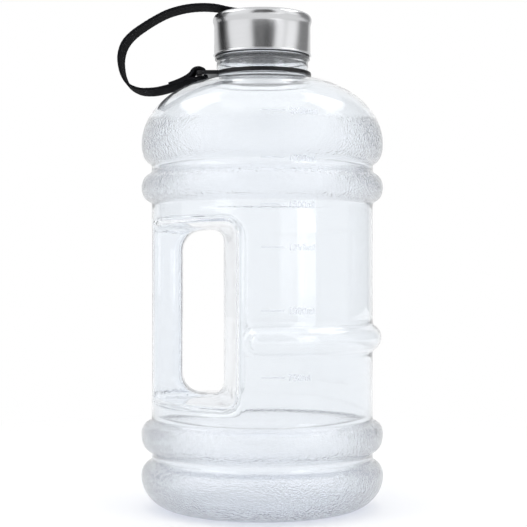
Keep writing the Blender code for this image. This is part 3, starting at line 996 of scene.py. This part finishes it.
def build_strap(name, route, settings, finish, hem=0.0):
    """A woven strap along a route; hem is the extra thickness of its doubled start."""
    line, length = route_line(route, STRAP_STEP)
    middle, width, rise = strap_frames(line)
    across, side = strap_section(STRAP_POINTS_ACROSS)
    run = np.linspace(0.0, length, len(line))
    fade = np.clip((length - run) / (0.5 * length), 0.0, 1.0)
    half = 0.5 * (STRAP_THICKNESS + hem * fade * fade * (3.0 - 2.0 * fade))
    reach = across * STRAP_WIDTH / 2.0
    lane = reach / settings.rib_pitch
    shift = 0.5 * (np.floor(lane + 0.5) % 2.0)
    pick = run[:, None] / settings.pick_pitch + shift[None, :]
    over = 0.5 + 0.5 * np.cos(TURN * pick)
    rib = (0.5 + 0.5 * np.cos(TURN * lane))[None, :]
    weave = settings.weave_depth * (np.sqrt(rib) * (0.35 + 0.65 * over) - 1.0)
    height = (half[:, None] + weave) * side[None, :]
    points = (middle[:, None, :] + width[:, None, :] * reach[None, :, None]
              + rise[:, None, :] * height[..., None])
    count = len(across)
    rows = len(line)
    numbers = np.arange(rows * count).reshape(rows, count)
    points = points.reshape(-1, 3)
    follow = np.roll(numbers, -1, axis=1)
    sides = np.stack((numbers[:-1], numbers[1:], follow[1:], follow[:-1]), axis=2)
    faces = sides.reshape(-1, 4).tolist()
    faces.append(numbers[0].tolist())
    faces.append(numbers[-1][::-1].tolist())
    strap = mesh_piece(name, points, faces, finish)
    uv = strap.data.uv_layers.new(name="weave")
    loops = np.empty(len(strap.data.loops), dtype=np.int64)
    strap.data.loops.foreach_get("vertex_index", loops)
    mapped = np.stack((np.repeat(run, count), np.tile(reach, rows)), axis=1)
    uv.data.foreach_set("uv", mapped[loops].ravel())
    return strap, line, length


def bead_tree(name, finish):
    """Geometry Nodes: one long bead on each vertex, laid along its 'along' attribute."""
    tree = bpy.data.node_groups.new(name, "GeometryNodeTree")
    tree.interface.new_socket("Geometry", in_out="INPUT", socket_type="NodeSocketGeometry")
    tree.interface.new_socket("Length", in_out="INPUT", socket_type="NodeSocketFloat")
    tree.interface.new_socket("Width", in_out="INPUT", socket_type="NodeSocketFloat")
    tree.interface.new_socket("Geometry", in_out="OUTPUT", socket_type="NodeSocketGeometry")
    wiring = Wiring(tree)
    start = wiring.node("NodeGroupInput")
    ball = wiring.node("GeometryNodeMeshUVSphere", Segments=8, Rings=6, Radius=0.5)
    smooth = wiring.node("GeometryNodeSetShadeSmooth", Geometry=ball["Mesh"])
    size = wiring.joined(start["Width"], start["Width"], start["Length"])
    along = wiring.node("GeometryNodeInputNamedAttribute", {"data_type": "FLOAT_VECTOR"},
                        Name="along")
    turn = wiring.node("FunctionNodeAlignRotationToVector", {"axis": "Z"},
                       Vector=along["Attribute"])
    laid = wiring.node("GeometryNodeInstanceOnPoints", Points=start["Geometry"],
                       Instance=smooth["Geometry"], Rotation=turn["Rotation"], Scale=size)
    real = wiring.node("GeometryNodeRealizeInstances", Geometry=laid["Instances"])
    done = wiring.node("GeometryNodeSetMaterial", Geometry=real["Geometry"], Material=finish)
    wiring.node("NodeGroupOutput", Geometry=done["Geometry"])
    return tree


def beaded(name, points, along, finish, **sizes):
    """A plain mesh of beads on loose points, each laid along its direction."""
    mesh = bpy.data.meshes.new(name + "_seed")
    mesh.from_pydata([tuple(point) for point in points], [], [])
    layer = mesh.attributes.new("along", "FLOAT_VECTOR", "POINT")
    layer.data.foreach_set("vector", np.asarray(along, float).ravel())
    seed = bpy.data.objects.new(name + "_seed", mesh)
    bpy.context.scene.collection.objects.link(seed)
    modifier = seed.modifiers.new("beads", "NODES")
    modifier.node_group = bead_tree(name, finish)
    for socket in modifier.node_group.interface.items_tree:
        if socket.in_out == "INPUT" and socket.name in sizes:
            modifier[socket.identifier] = sizes[socket.name]
    bpy.context.view_layer.update()
    depsgraph = bpy.context.evaluated_depsgraph_get()
    made = bpy.data.meshes.new_from_object(seed.evaluated_get(depsgraph))
    made.name = name
    seed.modifiers.remove(modifier)
    bpy.data.objects.remove(seed, do_unlink=True)
    piece = bpy.data.objects.new(name, made)
    bpy.context.scene.collection.objects.link(piece)
    return piece


def stitch_layout(line, settings, lift):
    """Points and directions of the box stitch that closes the leash's fold."""
    middle, width, rise = strap_frames(line)
    gap = np.linalg.norm(np.diff(middle, axis=0), axis=1)
    run = np.concatenate(([0.0], np.cumsum(gap)))
    inset = 2.2 * MM
    half = STRAP_WIDTH / 2.0 - inset
    box = 10.0 * MM
    pitch = settings.stitch * STITCH_SPACING
    paths = [((inset, -half), (inset + box, -half)), ((inset + box, -half), (inset + box, half)),
             ((inset + box, half), (inset, half)), ((inset, half), (inset, -half)),
             ((inset, -half), (inset + box, half)), ((inset, half), (inset + box, -half))]
    points = []
    along = []
    for start, end in paths:
        start = np.array(start)
        end = np.array(end)
        count = max(2, int(round(np.linalg.norm(end - start) / pitch)))
        for step in range(count):
            at = start + (end - start) * (step + 0.5) / count
            i = min(int(np.searchsorted(run, at[0])), len(line) - 2)
            ahead = middle[i + 1] - middle[i]
            ahead /= np.linalg.norm(ahead)
            way = ahead * (end - start)[0] + width[i] * (end - start)[1]
            points.append(middle[i] + width[i] * at[1] - rise[i] * lift)
            along.append(way / np.linalg.norm(way))
    return points, along


# ---------------------------------------------------------------- operators


def settings_of(kind):
    return getattr(bpy.context.scene, kind)


class JUG_OT_stage(bpy.types.Operator):
    """Make the camera, the softboxes and the pale floor"""

    bl_idname = "jug.stage"
    bl_label = "Stage"

    def execute(self, context):
        settings = settings_of("jug_stage")
        data = bpy.data.cameras.new("camera")
        data.lens = settings.focal_length
        data.sensor_width = 36.0
        camera = bpy.data.objects.new("camera", data)
        camera.location = (CAMERA_X, -settings.distance, settings.camera_height)
        camera.rotation_euler = (math.radians(CAMERA_TILT), 0.0, 0.0)
        context.scene.collection.objects.link(camera)
        context.scene.camera = camera
        context.scene.view_settings.view_transform = "Standard"
        self.floor()
        self.world(context)
        for name, place, size, share in SOFTBOXES:
            softbox(context, name, place, size, settings.softbox_power * share)
        return {"FINISHED"}

    def floor(self):
        """A pale floor near the jug that turns to plain white further out."""
        finish = Finish("pale_floor", Base_Color=(0.93, 0.93, 0.93), Roughness=0.75)
        x, y, _ = finish.axes(finish.place)
        away = (x * x + y * y).function("SQRT")
        grain = finish.noise(finish.place, 400.0)
        finish.set("Roughness", 0.7 + grain * 0.1)
        white = finish.node("ShaderNodeEmission", Color=(1.0, 1.0, 1.0))
        finish.finish_with(((away - FLOOR_SHADED) / FLOOR_FADE).clipped(), white[0])
        half = 3.0
        corners = [(-half, -half, 0.0), (half, -half, 0.0), (half, half, 0.0), (-half, half, 0.0)]
        floor = mesh_piece("floor", corners, [(0, 1, 2, 3)], finish.material, smooth=False)

    def world(self, context):
        """White behind the jug; in reflections, a pale room with softboxes and dark cards."""
        world = bpy.data.worlds.new("studio")
        world.use_nodes = True
        wiring = Wiring(world.node_tree)
        x, y, z = wiring.axes(wiring.node("ShaderNodeTexCoord")["Generated"])
        side = x.function("ARCTAN2", y * -1.0) * (360.0 / TURN)
        rise = z.function("ARCSINE") * (360.0 / TURN)
        glow = ROOM_GLOW
        for low, high, bottom, top, soft, light in ROOM:
            zone = side.band(low, high, soft) * rise.band(bottom, top, 4.0)
            glow = glow + zone * (light - glow)
        rays = wiring.node("ShaderNodeLightPath")
        seen = rays["Is Camera Ray"].function("MAXIMUM", rays["Is Transmission Ray"])
        light = glow + rays["Is Diffuse Ray"] * (ROOM_DIFFUSE - glow)
        light = light + seen * (1.0 - light)
        wiring.fill(world.node_tree.nodes["Background"].inputs["Color"], light)
        context.scene.world = world


def softbox(context, name, place, size, power):
    data = bpy.data.lights.new(name, "AREA")
    data.shape = "RECTANGLE"
    data.size, data.size_y = size
    data.energy = power
    lamp = bpy.data.objects.new(name, data)
    lamp.location = place
    lamp.visible_glossy = False
    aim = Vector((0.0, 0.0, 0.14)) - Vector(place)
    lamp.rotation_euler = aim.to_track_quat("-Z", "Y").to_euler()
    context.scene.collection.objects.link(lamp)


class JUG_OT_leash(bpy.types.Operator):
    """Make the strap, its sewn tail, its stitches and its rivet"""

    bl_idname = "jug.leash"
    bl_label = "Leash"

    def execute(self, context):
        settings = settings_of("jug_leash")
        webbing = woven_webbing(settings)
        strap, line, length = build_strap("leash_strap_woven", STRAP_ROUTE, settings, webbing)
        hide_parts("leash_strap")
        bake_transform(strap)
        path = [(x, 0.0, z) for x, z, _ in line[::4]] + [(line[-1, 0], 0.0, line[-1, 1])]
        tail, tail_line, _ = build_strap("leash_tail_woven", TAIL_ROUTE, settings, webbing,
                                         hem=settings.hem)
        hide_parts("leash_strap")
        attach(tail, "ring")
        lift = 0.5 * (STRAP_THICKNESS + settings.hem) + 0.02 * MM
        points, along = stitch_layout(tail_line, settings, lift)
        stitches = beaded("leash_stitches", points, along, sewing_thread(),
                          Length=settings.stitch, Width=settings.thread)
        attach(stitches, "ring")
        self.rivet()
        return {"FINISHED"}

    def rivet(self):
        steel = brushed_steel("rivet_steel", (0.60, 0.60, 0.62), 0.2)
        low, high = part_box("leash_rivet")
        crown_z = RIVET_HEAD_Z + RIVET_HEAD_RIM
        crown = arc((0.0, crown_z), (RIVET_HEAD_RADIUS, high[2] - crown_z), 90, 0, 10)
        tail_low, tail_high = RIVET_TAIL_Z
        profile = [(0.0, float(high[2]))] + [tuple(point) for point in crown[1:]]
        profile += [(RIVET_HEAD_RADIUS, RIVET_HEAD_Z + RIVET_CHAMFER),
                    (RIVET_HEAD_RADIUS - RIVET_CHAMFER, RIVET_HEAD_Z),
                    (RIVET_SHANK_RADIUS, RIVET_HEAD_Z),
                    (RIVET_SHANK_RADIUS, tail_high + RIVET_CHAMFER),
                    (RIVET_TAIL_RADIUS, tail_high), (RIVET_TAIL_RADIUS, tail_low),
                    (0.0, low[2])]
        rivet = turned("leash_rivet_turned", profile, steel, steps=64, sharp=40.0)
        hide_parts("leash_rivet")
        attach(rivet, "rivet")
        bpy.data.objects["leash_washer"].material_slots[0].material = steel


class JUG_OT_body(bpy.types.Operator):
    """Make the blown body with its two skins and its threaded neck"""

    bl_idname = "jug.body"
    bl_label = "Body"

    def execute(self, context):
        settings = settings_of("jug_body")
        body = build_body(settings, clear_plastic(settings))
        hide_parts("bottle_body")
        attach(body, "jug")
        return {"FINISHED"}


class JUG_OT_marks(bpy.types.Operator):
    """Make the moulded volume marks: short bars and their numbers"""

    bl_idname = "jug.marks"
    bl_label = "Volume marks"

    def execute(self, context):
        settings = settings_of("jug_marks")
        finish = moulded_marks()
        wall = OuterWall(body_outline())
        steps = int(round(settings.bar_length / (0.6 * settings.bar_bead)))
        reach = np.linspace(0.0, settings.bar_length, steps)
        bars = [wall.placed(height, reach, 0.0 * reach, 0.0 * reach)
                for height, _ in VOLUME_MARKS]
        turn = np.tile(reach / WALL_RADIUS, len(VOLUME_MARKS))
        along = np.column_stack((np.cos(turn), np.sin(turn), 0.0 * turn))
        bars = beaded("mark_bars", np.concatenate(bars), along, finish,
                      Length=settings.bar_bead, Width=settings.bar_width)
        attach(bars, "jug")
        self.numbers(settings, wall, finish)
        return {"FINISHED"}

    def numbers(self, settings, wall, finish):
        points = []
        faces = []
        for height, label in VOLUME_MARKS:
            flat, shape = lettering(label, settings.number_size)
            across = settings.number_start + flat[:, 0]
            rise = np.where(flat[:, 2] > 0.0, settings.number_rise, -0.05 * MM)
            middle = 0.35 * settings.number_size
            faces += [[v + len(points) for v in face] for face in shape]
            points += wall.placed(height, across, flat[:, 1] - middle, rise).tolist()
        numbers = mesh_piece("mark_numbers", points, faces, finish, smooth=False)
        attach(numbers, "jug")


class OuterWall:
    """Places flat artwork on the front of the turned body, wrapped along its outline."""

    def __init__(self, outline):
        gaps = np.linalg.norm(np.diff(outline, axis=0), axis=1)
        self.outline = outline
        self.run = np.concatenate(([0.0], np.cumsum(gaps)))
        ahead = np.gradient(outline, axis=0)
        ahead /= np.linalg.norm(ahead, axis=1)[:, None]
        self.out = np.column_stack((ahead[:, 1], -ahead[:, 0]))

    def placed(self, height, across, up, rise):
        start = np.interp(height, self.outline[:, 1], self.run)
        run = start + up
        radius, z, out_r, out_z = (np.interp(run, self.run, column) for column in
                                   (*self.outline.T, *self.out.T))
        turn = across / WALL_RADIUS
        radius = radius + out_r * rise
        return np.column_stack((radius * np.sin(turn), -radius * np.cos(turn), z + out_z * rise))


def lettering(text, size):
    """Points and faces of a short word, standing on the x axis from x = 0."""
    curve = bpy.data.curves.new("lettering", "FONT")
    curve.body = text
    curve.size = size
    curve.extrude = 0.1 * size
    curve.resolution_u = 4
    word = bpy.data.objects.new("lettering", curve)
    bpy.context.scene.collection.objects.link(word)
    bpy.context.view_layer.update()
    mesh = bpy.data.meshes.new_from_object(word)
    points = np.array([vertex.co for vertex in mesh.vertices])
    faces = [list(face.vertices) for face in mesh.polygons]
    bpy.data.objects.remove(word, do_unlink=True)
    bpy.data.meshes.remove(mesh)
    return points, faces


class JUG_OT_cap(bpy.types.Operator):
    """Make the cap's shell and finish its liner and gasket"""

    bl_idname = "jug.cap"
    bl_label = "Cap"

    def execute(self, context):
        settings = settings_of("jug_cap")
        steel = brushed_steel("brushed_steel", tuple(settings.steel), settings.brush)
        shell = turned("cap_shell_drawn", self.shell_profile(), steel, steps=192, sharp=50.0)
        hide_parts("cap_shell")
        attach(shell, "cap")
        liner_black = moulded_plastic("liner_plastic", (0.010, 0.010, 0.012), 0.38, 0.3)
        bpy.data.objects["cap_liner"].material_slots[0].material = liner_black
        silicone = moulded_plastic("silicone", (0.70, 0.71, 0.72), 0.55)
        bpy.data.objects["cap_gasket"].material_slots[0].material = silicone
        return {"FINISHED"}

    def shell_profile(self):
        """Top, shoulder, side and hem down the outside, then back up the inside."""
        centre = (SHELL_SHOULDER - SHOULDER_ROUND, SHELL_TOP - SHOULDER_ROUND)
        outer = [(RIVET_HOLE, SHELL_TOP), (TOP_FLAT, SHELL_TOP)]
        outer += [tuple(p) for p in arc(centre, (SHOULDER_ROUND,) * 2, 90, 0, 12)]
        for step in range(1, 9):
            t = step / 8.0
            ease = 0.5 - 0.5 * math.cos(math.pi * t)
            radius = SHELL_SHOULDER + (SHELL_RADIUS - SHELL_SHOULDER) * ease
            outer.append((radius, centre[1] + (SHOULDER_END - centre[1]) * t))
        hem = arc((SHELL_RADIUS + HEM_OUT, SHELL_BOTTOM + HEM_RADII[1]), HEM_RADII, 60, -90, 8)
        outer += [(SHELL_RADIUS, SHELL_BOTTOM + HEM_TOP)] + [tuple(p) for p in hem]
        inside = SHELL_RADIUS - SHELL_SHEET
        inner = [(inside, SHELL_BOTTOM + 0.05 * MM), (inside, SHOULDER_END)]
        inner += [tuple(p) for p in arc(centre, (SHOULDER_ROUND - SHELL_SHEET,) * 2, 0, 90, 8)]
        inner.append((RIVET_HOLE, SHELL_TOP - SHELL_SHEET))
        return outer + inner


class JUG_OT_neck_ring(bpy.types.Operator):
    """Finish the neck ring"""

    bl_idname = "jug.neck_ring"
    bl_label = "Neck ring"

    def execute(self, context):
        black = moulded_plastic("ring_plastic", (0.006, 0.006, 0.007), 0.30, 0.25)
        bpy.data.objects["neck_ring"].material_slots[0].material = black
        return {"FINISHED"}


class JUG_PT_panel(bpy.types.Panel):
    """Lists the jug's settings and the operators that build it"""

    bl_idname = "JUG_PT_panel"
    bl_label = "Water jug"
    bl_space_type = "VIEW_3D"
    bl_region_type = "UI"
    bl_category = "Water jug"

    def draw(self, context):
        for kind in GROUPS:
            group = getattr(context.scene, kind)
            box = self.layout.box()
            for name in group.__annotations__:
                box.prop(group, name)
        for operator in OPERATORS:
            self.layout.operator(operator.bl_idname)


GROUPS = {
    "jug_body": JugSettings,
    "jug_marks": MarkSettings,
    "jug_cap": CapSettings,
    "jug_leash": LeashSettings,
    "jug_stage": StageSettings,
}
OPERATORS = (JUG_OT_stage, JUG_OT_leash, JUG_OT_body, JUG_OT_marks, JUG_OT_cap,
             JUG_OT_neck_ring)


def register():
    for kind, group in GROUPS.items():
        bpy.utils.register_class(group)
        setattr(bpy.types.Scene, kind, bpy.props.PointerProperty(type=group))
    for operator in OPERATORS:
        bpy.utils.register_class(operator)
    bpy.utils.register_class(JUG_PT_panel)


def unregister():
    bpy.utils.unregister_class(JUG_PT_panel)
    for operator in reversed(OPERATORS):
        bpy.utils.unregister_class(operator)
    for kind, group in reversed(GROUPS.items()):
        delattr(bpy.types.Scene, kind)
        bpy.utils.unregister_class(group)


def main():
    register()
    bpy.ops.jug.stage()
    bpy.ops.jug.leash()
    bpy.ops.jug.body()
    bpy.ops.jug.marks()
    bpy.ops.jug.cap()
    bpy.ops.jug.neck_ring()


if __name__ == "__main__":
    main()
